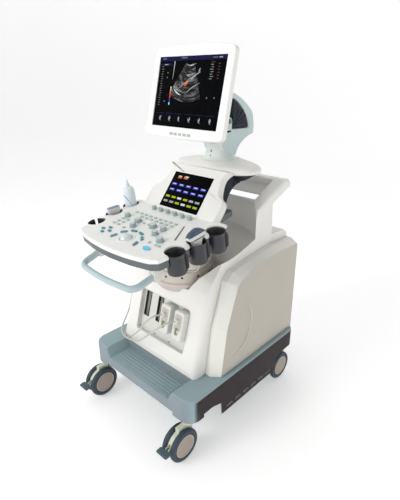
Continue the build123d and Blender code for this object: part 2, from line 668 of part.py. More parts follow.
def make_monitor():
    """Bezel, screen and rear shell, all leaning back together."""
    left = (-bezel_half_width, bezel_low), (-bezel_half_width + 5, bezel_high)
    right = (bezel_half_width - 5, bezel_high), (bezel_half_width, bezel_low)
    outline = [Line(*left), ThreePointArc(left[1], (0, bezel_high + 12), right[0]), Line(*right),
               ThreePointArc(right[1], (0, bezel_low - bezel_chin), left[0])]
    face = make_face(outline)
    plate = extrude(face, 20)
    plate = rounded(plate, plate.edges().filter_by(Axis.Z), 20)
    plate = rounded(plate, plate.edges().group_by(Axis.Z)[-1], 5)
    plate = Pos(0, 0, -18) * plate
    plate -= Pos(0, 0, 0) * Box(screen_size[0], screen_size[1], 60)
    keep("monitor_bezel", screen.location * plate)
    panel = Pos(0, 0, -9) * Box(screen_size[0] - 0.4, screen_size[1] - 0.4, 16)
    keep("lcd_panel", screen.location * panel)
    back_low = Plane.XY.offset(-18.1) * Pos(0, -4, 0) * RectangleRounded(356, 272, 22)
    back_high = Plane.XY.offset(-58) * Pos(0, -10, 0) * RectangleRounded(250, 180, 30)
    back = loft([make_face(back_low), make_face(back_high)])
    back += screen.location.inverse() * box(-26, 26, -20, tilt_y + 12, tilt_z - 14, tilt_z + 22)
    back -= screen.location.inverse() * along_x(0, tilt_y, tilt_z, 6 + running_clearance, 90)
    keep("monitor_rear", screen.location * back)


# ---- cables ----
# Each probe's cable runs from its connector round the front left corner, up the groove beside the side
# cover, over the cover's ledge, down the left side in a hanging loop and up to the console.
linear_lower_route = (
    (36, -226.0, 448.3), (35, -254, 455.5), (24, -277, 447), (2, -285, 420), (-26, -279, 384), (-66, -269, 346),
    (-108, -259, 304), (-152, -249, 268), (-197, -238, 256), (-224, -205, 262), (-219, -175, 296),
    (-216, -167, 355), (-215, -157, 425), (-216, -134, 495), (-215, -116, 560), (-218, -95, 614),
    (-230, -62, 640), (-248, -18, 645), (-268, 24, 641), (-284, 53, 610), (-287, 63, 548),
    (-283, 62, 470), (-280, 49, 392), (-278, 17, 330), (-278, -27, 317), (-280, -63, 370),
    (-282, -76, 452), (-284, -78, 552), (-284, -78, cable_cut_z))
linear_upper_route = (
    (-284, -78, cable_cut_z), (-284, -78, 682), (-274.8, -95.5, 701.8), (-259.4, -124.7, 700.5),
    (-248.2, -146, 672.5), (-236, -169, 656), (-223.4, -192.8, 661.2), (-216, -206.9, 684),
    (-216, -212.5, 721.6))
convex_lower_route = (
    (108, -226.0, 448.3), (107, -255, 456), (92, -281, 447), (62, -291, 418), (24, -289, 382), (-18, -283, 342),
    (-66, -273, 306), (-118, -266, 285), (-166, -262, 277), (-213, -241, 279), (-232, -205, 300),
    (-219, -187, 350), (-217, -171, 408), (-215, -154, 468), (-216, -134, 530), (-219, -112, 590),
    (-234, -82, 634), (-258, -40, 646), (-279, 0, 635), (-289, 34, 598), (-288, 46, 536),
    (-284, 45, 468), (-281, 33, 402), (-280, 4, 355), (-281, -30, 352), (-283, -55, 396),
    (-284, -61, 468), (-285, -62, 560), (-285, -62, cable_cut_z))
convex_upper_route = (
    (-285, -62, cable_cut_z), (-285, -62, 684), (-275, -77, 707), (-253, -104, 717), (-222, -146, 712),
    (-182, -190, 702), (-128, -224, 703), (-56, -242, 700), (26, -245, 704), (98, -236, 697), (150, -226, 676),
    (188, -218, 670), (216, -206.9, 684), (216, -212.5, 721.6))


def make_cable(name, points):
    """Cable along straight runs joined by arcs as large as the runs allow."""
    corners = [Vector(*point) for point in points]
    radii = []
    for before, corner, after in zip(corners, corners[1:], corners[2:]):
        run, next_run = corner - before, after - corner
        half_turn = math.radians(run.get_angle(next_run)) / 2
        radii.append(0.45 * min(run.length, next_run.length) / math.tan(half_turn))
    path = FilletPolyline(*corners, radius=radii)
    tube = sweep(Plane(origin=path @ 0, z_dir=path % 0) * Circle(cable_diameter / 2), path)
    expected = math.pi * (cable_diameter / 2) ** 2 * path.length
    print(name, "length", round(path.length), "volume share", round(tube.volume / expected, 4),
          "radii", [round(radius) for radius in radii])
    keep(name, tube)


def add_casters():
    for side, left_right in ((-1, "left"), (1, "right")):
        for end, front_rear in ((-1, "front"), (1, "rear")):
            name = f"{front_rear}_{left_right}"
            make_caster(name, side * caster_x, end * caster_y)
            if end < 0:
                make_brake_pedal(name, side * caster_x, end * caster_y)


def main():
    make_base_cover()
    make_base_frame()
    add_casters()
    make_centre_housing()
    make_rear_handle()
    make_side_cover("side_cover_left", -1)
    make_side_cover("side_cover_right", 1)
    make_rear_cover()
    make_rear_fittings()
    make_connector_panel()
    make_probe_connectors()
    make_electronics()
    make_turret_base()
    make_cover_screws()
    make_console_deck()
    make_console_tray()
    make_console_pan()
    make_front_handle()
    make_cups("cups_left", -1)
    make_cups("cups_right", 1)
    make_trackball()
    make_keys()
    make_knobs()
    make_encoders()
    make_touch_housing()
    make_touch_screen()
    make_probes()
    make_gel_bottle()
    make_neck_arm()
    make_tilt_shroud()
    make_monitor()
    make_cable("linear_cable_lower", linear_lower_route)
    make_cable("linear_cable_upper", linear_upper_route)
    make_cable("convex_cable_lower", convex_lower_route)
    make_cable("convex_cable_upper", convex_upper_route)
    os.makedirs("parts", exist_ok=True)
    for name, shape in nodes.items():
        export_step(Pos(0, base_to_origin, 0) * shape, f"parts/{name}.step")


main()
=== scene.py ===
import math

import bmesh
import bpy
from mathutils import Matrix, Vector


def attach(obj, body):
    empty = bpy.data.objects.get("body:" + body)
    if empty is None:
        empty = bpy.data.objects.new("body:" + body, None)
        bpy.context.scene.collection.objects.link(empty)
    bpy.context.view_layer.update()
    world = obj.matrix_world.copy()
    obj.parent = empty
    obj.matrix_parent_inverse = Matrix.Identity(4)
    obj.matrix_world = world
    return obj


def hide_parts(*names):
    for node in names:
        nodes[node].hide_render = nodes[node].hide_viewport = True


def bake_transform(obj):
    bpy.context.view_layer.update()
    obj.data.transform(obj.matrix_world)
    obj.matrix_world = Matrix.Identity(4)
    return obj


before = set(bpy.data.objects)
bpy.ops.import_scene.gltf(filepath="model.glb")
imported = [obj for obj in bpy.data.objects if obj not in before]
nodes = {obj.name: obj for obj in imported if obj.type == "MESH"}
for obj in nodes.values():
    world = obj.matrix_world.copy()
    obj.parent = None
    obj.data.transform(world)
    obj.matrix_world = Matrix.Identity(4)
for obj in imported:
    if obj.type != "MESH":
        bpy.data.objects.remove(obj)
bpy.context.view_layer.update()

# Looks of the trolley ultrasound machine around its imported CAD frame. Lengths below are millimetres
# in the machine's own frame, whose Y starts at the middle of the base, and at() turns them into metres.

base_to_origin = 54.0
mm = Matrix.Scale(0.001, 4)


def at(x, y, z):
    return Vector((x, y + base_to_origin, z)) / 1000


def tilted(point, lean_from_level):
    """Frame on a plane that is level along X and whose normal leans forward off the vertical, in mm."""
    a = math.radians(lean_from_level)
    axes = Matrix(((1, 0, 0), (0, math.cos(a), -math.sin(a)), (0, math.sin(a), math.cos(a))))
    return Matrix.Translation(at(*point)) @ axes.to_4x4() @ mm


# Planes that the details stand on: the console's top, the touch panel, the monitor's front, the connector
# panel sunk into the leaning column, the level ground, and the side view with (y, z, x) as coordinates.
deck = tilted((0, -220, 793), 8.42)
touch = tilted((0, -51.6, 873), 90 - 39.4)
screen = tilted((0, -38, 1216), 90 - 13.7)
column_lean, column_foot_y, column_foot_z, panel_z, panel_recess = 15.3, -232, 262, 417, 18
lean_angle = math.radians(column_lean)
front = tilted((0, column_foot_y + (panel_z - column_foot_z) * math.tan(lean_angle)
                + panel_recess / math.cos(lean_angle), panel_z), 90 - column_lean)
upright = tilted((0, 0, 0), 0)
along_x = Matrix(((0, 0, 1), (1, 0, 0), (0, 1, 0))).to_4x4()
sideways = Matrix.Translation(at(0, 0, 0)) @ along_x @ mm

cup_offsets = ((207.0, -89.0), (216.0, -3.0), (221.0, 83.0))    # of the right-hand cups, on the deck
cup_floor = -72
touch_width, touch_height, glass_height = 195.0, 146.0, 1.0
neck_y = 133.0
caster_x, caster_y, caster_trail, wheel_radius = 242, 300, 42, 62.5


# ---- materials ----
def preset(node, **values):
    """Sets inputs of a node, with underscores for the spaces in their names."""
    for name, value in values.items():
        node.inputs[name.replace("_", " ")].default_value = value
    return node


def material(name, color, tint=0.05, rough=0.42, grain=900.0, bump=0.12, coat=0.0, metal=0.0, sheen=0.0,
             glow=0.0, patch=7.0, soft_edge=0.0, specular=0.5, painted_shades=()):
    """Moulded or coated surface: cloudy colour variation, uneven gloss and a fine grain.

    Each painted shade is (axis, from, to, tint): painted shade that darkens the faces looking along that axis
    by the tint."""
    m = bpy.data.materials.new(name)
    m.use_nodes = True
    tree = m.node_tree
    new, link = tree.nodes.new, tree.links.new
    shader = tree.nodes["Principled BSDF"]
    coords = new("ShaderNodeTexCoord")

    def noise(scale, detail):
        n = preset(new("ShaderNodeTexNoise"), Scale=scale, Detail=detail)
        link(coords.outputs["Object"], n.inputs["Vector"])
        return n.outputs["Fac"]

    ramp = new("ShaderNodeValToRGB")
    ramp.color_ramp.elements[0].position = 0.3
    ramp.color_ramp.elements[1].position = 0.7
    ramp.color_ramp.elements[0].color = [c * (1 - tint) for c in color] + [1]
    ramp.color_ramp.elements[1].color = [min(1, c * (1 + tint)) for c in color] + [1]
    link(noise(patch, 3), ramp.inputs["Fac"])
    surface_colour = ramp.outputs["Color"]
    # Painted shade: faces that look along the axis are multiplied by a darker tint, as if they lay in shade.
    for axis, start, stop, shade_tint in painted_shades:
        split, size = new("ShaderNodeSeparateXYZ"), new("ShaderNodeMath")
        size.operation = "ABSOLUTE"
        link(coords.outputs["Normal"], split.inputs["Vector"])
        link(split.outputs[axis], size.inputs[0])
        share, mix = preset(new("ShaderNodeMapRange"), From_Min=start, From_Max=stop), new("ShaderNodeMix")
        link(size.outputs["Value"], share.inputs["Value"])
        mix.data_type, mix.blend_type = "RGBA", "MULTIPLY"
        link(share.outputs["Result"], mix.inputs[0])
        link(surface_colour, mix.inputs[6])
        mix.inputs[7].default_value = (*shade_tint, 1)
        surface_colour = mix.outputs[2]
    link(surface_colour, shader.inputs["Base Color"])
    gloss = preset(new("ShaderNodeMapRange"), To_Min=rough - 0.06, To_Max=rough + 0.08)
    link(noise(35.0, 5), gloss.inputs["Value"])
    link(gloss.outputs["Result"], shader.inputs["Roughness"])
    relief = preset(new("ShaderNodeBump"), Strength=bump, Distance=0.0004)
    link(noise(grain, 2), relief.inputs["Height"])
    if soft_edge:
        worn = preset(new("ShaderNodeBevel"), Radius=soft_edge)
        worn.samples = 4
        link(worn.outputs["Normal"], relief.inputs["Normal"])
    link(relief.outputs["Normal"], shader.inputs["Normal"])
    preset(shader, Specular_IOR_Level=specular, Coat_Weight=coat, Coat_Roughness=0.12, Metallic=metal,
           Sheen_Weight=sheen)
    if glow:
        link(ramp.outputs["Color"], shader.inputs["Emission Color"])
        preset(shader, Emission_Strength=glow)
    return m


white = material("white_moulding", (0.80, 0.79, 0.755), tint=0.018, rough=0.36, coat=0.1, soft_edge=0.0025)
# Painted shade: the side covers' flat faces, which look along X, get a darker tint.
side_white = material("side_moulding", (0.80, 0.785, 0.735), tint=0.02, soft_edge=0.0025,
                      painted_shades=(("X", 0.93, 0.995, (0.60, 0.575, 0.53)),))
deck_white = material("deck_moulding", (0.84, 0.84, 0.81), tint=0.012, rough=0.32, coat=0.15,
                      soft_edge=0.0015)
# Painted shade: the arm's faces that look along X get a darker bluish tint.
arm_white = material("arm_moulding", (0.72, 0.78, 0.76), tint=0.02, rough=0.36, coat=0.1,
                     painted_shades=(("X", 0.6, 0.95, (0.70, 0.79, 0.80)),))
# Painted shade on the base: faces looking along Y are darker and purplish, faces looking along X nearly
# black.
base_grey = material("base_moulding", (0.30, 0.40, 0.42), rough=0.5, specular=0.2, grain=700, bump=0.22,
                     soft_edge=0.002, painted_shades=(("Y", 0.55, 0.95, (0.80, 0.72, 0.75)),
                                             ("X", 0.88, 0.99, (0.08, 0.035, 0.04))))
# Painted shade: the turret gets a darker brownish tan that stands in for the shade on its drum.
turret_shade_tan = material("turret_painted_shade", (0.60, 0.545, 0.49), rough=0.45)
pan_cream = material("pan_cream", (0.74, 0.71, 0.65), tint=0.03, soft_edge=0.002)
navy = material("navy_trim", (0.010, 0.016, 0.024), tint=0.12, rough=0.4, specular=0.22)
cup_dark = material("cup_charcoal", (0.026, 0.027, 0.032), tint=0.1, rough=0.38, bump=0.15, coat=0.08)
slate = material("slate_trim", (0.105, 0.122, 0.132), tint=0.06, soft_edge=0.001)
handle_grey = material("handle_soft_touch", (0.42, 0.53, 0.545), tint=0.04, rough=0.5, sheen=0.2)
steel_black = material("powder_coat", (0.02, 0.022, 0.025), tint=0.15, rough=0.55, grain=1600, bump=0.35)
caster_cream = material("caster_housing", (0.66, 0.70, 0.55), tint=0.04, soft_edge=0.0015)
tyre = material("tyre_polyurethane", (0.030, 0.048, 0.070), tint=0.15, rough=0.58, grain=500, bump=0.3)
black = material("black_rubber", (0.010, 0.010, 0.012), tint=0.3, rough=0.6, bump=0.3)
hub_tan = material("hub_cap", (0.36, 0.30, 0.255), tint=0.08)
hub_rim = material("hub_rim", (0.60, 0.56, 0.46), rough=0.4)
pedal_teal = material("pedal_teal", (0.075, 0.125, 0.145), tint=0.08, rough=0.5, bump=0.3)
key_grey = material("key_grey", (0.44, 0.54, 0.49), rough=0.4, soft_edge=0.0006)
key_teal = material("key_teal", (0.06, 0.27, 0.30), tint=0.06, rough=0.4, soft_edge=0.0006)
key_cyan = material("key_cyan", (0.07, 0.42, 0.62), rough=0.2, coat=0.6, glow=0.25)
knob_side = material("knob_grip", (0.33, 0.42, 0.41), tint=0.06, rough=0.5, bump=0.2)
button_grey = material("button_grey", (0.40, 0.46, 0.43), tint=0.04, rough=0.35, coat=0.2)
knob_cap = material("knob_cap", (0.58, 0.67, 0.67), tint=0.04, rough=0.34, coat=0.2)
ball = material("trackball_resin", (0.68, 0.74, 0.74), rough=0.12, coat=1.0, grain=60, bump=0.02)
glass = material("dark_glass", (0.0010, 0.0012, 0.0016), tint=0.3, rough=0.10, grain=20, bump=0.01,
                 specular=0.03)
probe_white = material("probe_shell", (0.70, 0.71, 0.68), tint=0.03, rough=0.34, coat=0.2)
probe_lens = material("probe_lens", (0.030, 0.060, 0.125), tint=0.1, rough=0.3, coat=0.3)
bottle_white = material("squeeze_bottle", (0.74, 0.80, 0.84), tint=0.03, rough=0.32)
window_blue = material("probe_window", (0.20, 0.27, 0.42), rough=0.35)
bottle_blue = material("bottle_band", (0.10, 0.30, 0.50), tint=0.06, rough=0.35)
cable_grey = material("cable_jacket", (0.52, 0.52, 0.47), rough=0.45, grain=1200, bump=0.2)
olive = material("gland_olive", (0.235, 0.215, 0.135), tint=0.08, rough=0.5)
beige = material("connector_beige", (0.53, 0.49, 0.42))
zinc = material("zinc_screw", (0.42, 0.42, 0.42), tint=0.1, rough=0.35, metal=1.0, bump=0.3)
sheet_metal = material("folded_sheet", (0.5, 0.52, 0.53), rough=0.4, metal=0.9)
recess_grey = material("recess_plate", (0.66, 0.66, 0.62), tint=0.03, rough=0.45, soft_edge=0.001)


def lamp(name, color, glow):
    """Lit colour on a screen."""
    return material(name, color, tint=0.12, rough=0.3, patch=60.0, glow=glow, bump=0.02, specular=0.1)


ui_white = lamp("lit_white", (0.40, 0.43, 0.45), 0.6)
ui_dim = lamp("lit_dim", (0.12, 0.13, 0.125), 0.45)
ui_blue = lamp("lit_blue", (0.025, 0.03, 0.30), 0.7)
ui_navy = lamp("lit_navy", (0.001, 0.001, 0.035), 0.3)
ui_green = lamp("lit_green", (0.24, 0.30, 0.015), 0.55)
ui_grey = lamp("lit_grey", (0.24, 0.27, 0.26), 0.5)
ui_yellow = lamp("lit_yellow", (0.50, 0.34, 0.10), 0.7)
ui_orange = lamp("lit_orange", (0.36, 0.11, 0.035), 0.6)
ui_rust = lamp("lit_rust", (0.06, 0.028, 0.012), 0.3)
ui_red = lamp("lit_red", (0.50, 0.02, 0.01), 0.9)
ui_cyan = lamp("lit_cyan", (0.25, 0.52, 0.50), 0.8)


def echo_material():
    """Speckled echo picture: bright streaks along arcs of equal depth on a black ground."""
    m = bpy.data.materials.new("echo_picture")
    m.use_nodes = True
    tree = m.node_tree
    new, link = tree.nodes.new, tree.links.new
    shader = tree.nodes["Principled BSDF"]
    coords = new("ShaderNodeUVMap")
    coords.uv_map = "sector"
    stretch = preset(new("ShaderNodeMapping"), Scale=(2.4, 11.0, 1.0))
    link(coords.outputs["UV"], stretch.inputs["Vector"])
    layers = preset(new("ShaderNodeTexNoise"), Scale=1.0, Detail=7, Distortion=0.9)
    link(stretch.outputs["Vector"], layers.inputs["Vector"])
    speckle = preset(new("ShaderNodeTexNoise"), Scale=70, Detail=2)
    link(coords.outputs["UV"], speckle.inputs["Vector"])
    product = new("ShaderNodeMath")
    product.operation = "MULTIPLY"
    link(layers.outputs["Fac"], product.inputs[0])
    link(speckle.outputs["Fac"], product.inputs[1])
    ramp = new("ShaderNodeValToRGB")
    dark, light = ramp.color_ramp.elements
    dark.position, dark.color = 0.22, (0.001, 0.001, 0.001, 1)
    light.position, light.color = 0.43, (0.46, 0.45, 0.46, 1)
    for position, color in ((0.29, (0.018, 0.018, 0.019, 1)), (0.35, (0.10, 0.10, 0.105, 1))):
        ramp.color_ramp.elements.new(position).color = color
    link(product.outputs["Value"], ramp.inputs["Fac"])
    link(ramp.outputs["Color"], shader.inputs["Base Color"])
    link(ramp.outputs["Color"], shader.inputs["Emission Color"])
    preset(shader, Emission_Strength=1.2, Specular_IOR_Level=0.1)
    relief = preset(new("ShaderNodeBump"), Strength=0.02)
    link(speckle.outputs["Fac"], relief.inputs["Height"])
    link(relief.outputs["Normal"], shader.inputs["Normal"])
    rough = preset(new("ShaderNodeMapRange"), To_Min=0.15, To_Max=0.3)
    link(speckle.outputs["Fac"], rough.inputs["Value"])
    link(rough.outputs["Result"], shader.inputs["Roughness"])
    return m


# ---- mesh helpers ----
class Shape:
    """Vertices and faces that pile up into one mesh."""

    def __init__(self):
        self.points, self.faces = [], []

    def add(self, points, faces):
        start = len(self.points)
        self.points += [Vector(p) for p in points]
        self.faces += [[start + i for i in face] for face in faces]
        return self

    def rings(self, rings, caps=True):
        """Skin over rings of equally many points, with flat caps on the first and the last."""
        n = len(rings[0])
        faces = []
        for k in range(len(rings) - 1):
            for i in range(n):
                j = (i + 1) % n
                faces.append([k * n + i, k * n + j, (k + 1) * n + j, (k + 1) * n + i])
        if caps:
            faces.append(list(range(n))[::-1])
            faces.append([(len(rings) - 1) * n + i for i in range(n)])
        return self.add([p for ring in rings for p in ring], faces)

    def make(self, name, finish, body, slot, replaced=(), smooth=40.0):
        """One visible piece that rides a body, smooth where faces meet at less than an angle in degrees."""
        mesh = bpy.data.meshes.new(name)
        mesh.from_pydata([tuple(p) for p in self.points], [], self.faces)
        mesh.update()
        obj = bpy.data.objects.new(name, mesh)
        bpy.context.scene.collection.objects.link(obj)
        mesh.materials.append(finish)
        tidy_normals(mesh)
        mesh.shade_smooth()
        mesh.set_sharp_from_angle(angle=math.radians(smooth))
        if replaced:
            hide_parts(*replaced)
        if body:
            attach(obj, body)
        return obj


def tidy_normals(mesh):
    """Turns all faces outwards."""
    work = bmesh.new()
    work.from_mesh(mesh)
    bmesh.ops.recalc_face_normals(work, faces=work.faces)
    work.to_mesh(mesh)
    work.free()


def soften(obj, width):
    """Rounds the hard edges of a CAD mesh, by a width in mm."""
    weld = obj.modifiers.new("weld", "WELD")
    weld.merge_threshold = 0.00002
    edge = obj.modifiers.new("round", "BEVEL")
    edge.width = width / 1000
    edge.segments = 3
    edge.limit_method = "ANGLE"
    edge.angle_limit = math.radians(32)
    edge.harden_normals = False


def round_corners(points, radius, steps=5, closed=True):
    """Outline with its corners replaced by short curves. radius is one number or one per point."""
    n = len(points)
    result = []
    for i, corner in enumerate(points):
        here = Vector(corner)
        r = radius[i] if isinstance(radius, (list, tuple)) else radius
        if r <= 0 or (not closed and i in (0, n - 1)):
            result.append(here)
            continue
        before, after = Vector(points[i - 1]), Vector(points[(i + 1) % n])
        reach_in = min(r, (before - here).length * 0.49)
        reach_out = min(r, (after - here).length * 0.49)
        start = here + (before - here).normalized() * reach_in
        stop = here + (after - here).normalized() * reach_out
        for k in range(steps + 1):
            t = k / steps
            result.append(start * (1 - t) ** 2 + here * 2 * t * (1 - t) + stop * t * t)
    return result


def inset(outline, distance):
    """Outline moved inwards, for points that run anticlockwise."""
    result = []
    for i, p in enumerate(outline):
        along = (Vector(outline[(i + 1) % len(outline)]) - Vector(outline[i - 1])).normalized()
        result.append(Vector((p[0] - along.y * distance, p[1] + along.x * distance)))
    return result


def rectangle(width, length, radius, middle=(0, 0), steps=5):
    w, v = width / 2, length / 2
    plain = round_corners([(-w, -v), (w, -v), (w, v), (-w, v)], radius, steps)
    return [p + Vector(middle) for p in plain]


def on(plane, points, height):
    return [plane @ Vector((p[0], p[1], height)) for p in points]


def block(plane, outline, low, high, edge=2.0, both=False, shape=None, steps=4):
    """Block on a plane with its upper edge rounded, and its lower edge too if both."""
    shape = shape or Shape()
    quarter = [math.pi / 2 * k / steps for k in range(steps + 1)]
    layers = [(high - edge + edge * math.sin(a), edge * (1 - math.cos(a))) for a in quarter]
    if both:
        layers = [(low + edge - edge * math.sin(a), edge * (1 - math.cos(a))) for a in quarter[::-1]] + layers
    else:
        layers = [(low, 0.0)] + layers
    return shape.rings([on(plane, inset(outline, d), h) for h, d in layers])


def lathe(plane, profile, middle=(0, 0), segments=64, closed=False, arc=None, waves=None, shape=None):
    """Turns a (radius, height) profile about an axis that stands on a plane.

    An arc is (from, to) in degrees. Waves are (count, depth, lowest, highest) of grip ribs."""
    shape = shape or Shape()
    first, last = arc or (0.0, 360.0)
    count = segments if arc is None else segments + 1
    rings = []
    for i in range(count):
        a = math.radians(first + (last - first) * i / segments)
        ring = []
        for r, h in profile:
            if waves and waves[2] < h < waves[3]:
                r -= waves[1] * (0.5 + 0.5 * math.cos(waves[0] * a))
            ring.append(plane @ Vector((middle[0] + r * math.cos(a), middle[1] + r * math.sin(a), h)))
        rings.append(ring)
    n = len(profile)
    faces = []
    for k in range(count if arc is None else count - 1):
        for i in range(n if closed else n - 1):
            j, m = (i + 1) % n, (k + 1) % count
            faces.append([k * n + i, m * n + i, m * n + j, k * n + j])
    if arc is not None and closed:
        faces.append(list(range(n)))
        faces.append([(count - 1) * n + i for i in range(n)][::-1])
    return shape.add([p for ring in rings for p in ring], faces)


def patch(shape, plane, x, v, width, length, height=0.35, radius=0.6):
    """Thin lit patch on a screen."""
    block(plane, rectangle(width, length, radius, (x, v), steps=2), 0.0, height, 0.12, shape=shape, steps=1)


# ---- cables ----
def smooth_line(route):
    """Points along the smooth spline whose control points are the route's."""
    data = bpy.data.curves.new("line", "CURVE")
    data.dimensions = "3D"
    spline = data.splines.new("NURBS")
    spline.points.add(len(route) - 1)
    for point, place in zip(spline.points, route):
        point.co = (*at(*place), 1)
    spline.order_u = 3
    spline.use_endpoint_u = True
    spline.resolution_u = 10
    helper = bpy.data.objects.new("line", data)
    mesh = bpy.data.meshes.new_from_object(helper)
    line = [v.co.copy() for v in mesh.vertices]
    bpy.data.objects.remove(helper)
    bpy.data.curves.remove(data)
    bpy.data.meshes.remove(mesh)
    return line


def tube(line, radius):
    """Tube round a line, whose rings are carried along it without twisting."""
    across, rings, sides = None, [], 14
    for i, here in enumerate(line):
        along = (line[min(i + 1, len(line) - 1)] - line[max(i - 1, 0)]).normalized()
        if across is None:
            across = along.orthogonal().normalized()
        across = (across - along * across.dot(along)).normalized()
        other = along.cross(across)
        rings.append([here + (across * math.cos(2 * math.pi * k / sides)
                              + other * math.sin(2 * math.pi * k / sides)) * radius for k in range(sides)])
    return Shape().rings(rings)


cable_diameter = 6.5

# The same points as in the part's source, from the connector to the probe.
linear_route = (
    (36, -226.0, 448.3), (35, -254, 455.5), (24, -277, 447), (2, -285, 420), (-26, -279, 384),
    (-66, -269, 346), (-108, -259, 304), (-152, -249, 268), (-197, -238, 256), (-224, -205, 262),
    (-219, -175, 296), (-216, -167, 355), (-215, -157, 425), (-216, -134, 495), (-215, -116, 560),
    (-218, -95, 614), (-230, -62, 640), (-248, -18, 645), (-268, 24, 641), (-284, 53, 610), (-287, 63, 548),
    (-283, 62, 470), (-280, 49, 392), (-278, 17, 330), (-278, -27, 317), (-280, -63, 370), (-282, -76, 452),
    (-284, -78, 552), (-284, -78, 654), (-284, -78, 682), (-274.8, -95.5, 701.8), (-259.4, -124.7, 700.5),
    (-248.2, -146, 672.5), (-236, -169, 656), (-223.4, -192.8, 661.2), (-216, -206.9, 684),
    (-216, -212.5, 721.6))
convex_route = (
    (108, -226.0, 448.3), (107, -255, 456), (92, -281, 447), (62, -291, 418), (24, -289, 382),
    (-18, -283, 342), (-66, -273, 306), (-118, -266, 285), (-166, -262, 277), (-213, -241, 279),
    (-232, -205, 300), (-219, -187, 350), (-217, -171, 408), (-215, -154, 468), (-216, -134, 530),
    (-219, -112, 590), (-234, -82, 634), (-258, -40, 646), (-279, 0, 635), (-289, 34, 598), (-288, 46, 536),
    (-284, 45, 468), (-281, 33, 402), (-280, 4, 355), (-281, -30, 352), (-283, -55, 396), (-284, -61, 468),
    (-285, -62, 560), (-285, -62, 654), (-285, -62, 684), (-275, -77, 707), (-253, -104, 717),
    (-222, -146, 712), (-182, -190, 702), (-128, -224, 703), (-56, -242, 700), (26, -245, 704),
    (98, -236, 697), (150, -226, 676), (188, -218, 670), (216, -206.9, 684), (216, -212.5, 721.6))


def make_cable(name, route):
    """Probe cable in one piece, a tube along the smooth line of its route, attached to no body."""
    line = smooth_line(route)
    piece = tube(line, cable_diameter / 2000).make(name, cable_grey, None, "cable",
                                                   (name + "_lower", name + "_upper"))
    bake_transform(piece)


# ---- console ----
def cup_frame(side, index, height=0.0, turn=0.0):
    """Frame on the deck in a cup's middle, with side 1 for the right and -1 for the left."""
    x, v = cup_offsets[index]
    return deck @ Matrix.Translation((side * x, v, height)) @ Matrix.Rotation(math.radians(turn), 4, "Z")


def make_cups(name, side):
    """Three flared cups with a cable slit, a fin beside it and a hole in the floor."""
    profile = round_corners([(9, cup_floor), (28, cup_floor), (28, -16), (30.2, -7.2), (32.6, -4.4),
                             (33.6, -6.4), (31, -15), (31, -76), (9, -76)], [0, 3, 6, 1, 1, 1, 6, 3, 0], 3)
    slit_turn = 28 if side > 0 else 152
    rack = Shape()
    fin = round_corners([(29, -70), (38, -62), (40, -22), (36, -12), (29, -10)], 6)
    for index, (x, v) in enumerate(cup_offsets):
        lathe(deck, profile, (side * x, v), 60, closed=True, arc=(slit_turn + 9, slit_turn + 351), shape=rack)
        block(cup_frame(side, index, turn=slit_turn) @ Matrix.Rotation(math.radians(90), 4, "X"), fin, -8, -5,
              1.2, True, rack)
    for (x0, v0), (x1, v1) in zip(cup_offsets, cup_offsets[1:]):
        middle = (side * ((x0 + x1) / 2 - 8), (v0 + v1) / 2)
        block(deck, rectangle(13, 28, 3, middle), -48, -40, 2, True, rack)
    rack.make(name, cup_dark, "console", "cup_navy", (name,), smooth=50)


def make_knob(name, x, v, radius, height, skirt):
    """Finger-gripped knob with a dished lighter cap and a pointer bead."""
    grip = [(radius - 0.1, 0.3), (radius - 0.3, 1.6), (radius - 0.4, height * 0.5),
            (radius - 0.9, height - 1.6), (radius - 1.9, height), (radius - 3.2, height + 0.2),
            (radius - 3.4, height - 0.6)]
    if skirt:
        grip = [(radius + 2, 0.3), (radius + 2, 1.4), (radius + 1.6, 1.8), (radius + 0.1, 1.9)] + grip[1:]
    side = lathe(deck, grip, (x, v), 96, waves=(16, 0.7, 1.95, height - 1.7))
    side.make(name + "_grip", knob_side, name, "knob_grey", (name,), smooth=30)
    dish = [(radius - 3.3, height - 0.5), (radius - 3.6, height - 0.1), (radius - 4.4, height - 0.2),
            (radius * 0.3, height - 0.7), (0.01, height - 0.75)]
    cap = lathe(deck, dish, (x, v), 48)
    bead = rectangle(1.3, radius * 0.42, 0.6, (x, v + radius * 0.36), steps=2)
    block(deck, bead, height - 1, height + 0.15, 0.3, shape=cap, steps=2)
    cap.make(name + "_cap", knob_cap, name, "knob_grey", smooth=35)


# Name, place on the deck, radius and height.
knob_table = (("gain_knob_left", -132, -2, 11, 13), ("mode_knob_left", -60, -12, 13, 12),
              ("menu_knob_left", -44, -48, 11, 13), ("mode_knob_right", 23, -14, 13, 12),
              ("menu_knob_right", 72, -11, 11, 13), ("gain_knob_right", 72, -48, 11, 13),
              ("zoom_knob", 124, -72, 12, 14))
encoder_pitch = 37.0


def make_console_controls():
    """Knobs, encoders, the ring round the trackball and the split line of the deck."""
    for name, x, v, radius, height in knob_table:
        make_knob(name, x, v, radius, height + 0.3, True)
    for i in range(6):
        make_knob(f"encoder_{i + 1}", (i - 2.5) * encoder_pitch, 94, 9, 13.3, False)
    ring = round_corners([(23.0, -2), (23.4, 1.2), (26, 2.2), (31, 0.9), (31.5, -1)], [0, 1, 2, 1, 0], 3,
                         closed=False)
    lathe(deck, ring, (6, -118), 72).make("trackball_ring", deck_white, "console", "white_shell")
    line = round_corners([(113, 45), (117, 45), (160, -38), (160, -44), (156, -41)], 2)
    block(deck, line, -0.5, 0.7, 0.5).make("deck_split_trim", slate, "console", "slate_trim")


# ---- probes and bottle ----
def loft(plane, sections):
    """Skin over round-cornered rectangles: (height, width, length, corner radius)."""
    return Shape().rings([on(plane, rectangle(w, v, r, steps=6), h) for h, w, v, r in sections])


stand_height = cup_floor + 0.3      # of what stands in a cup


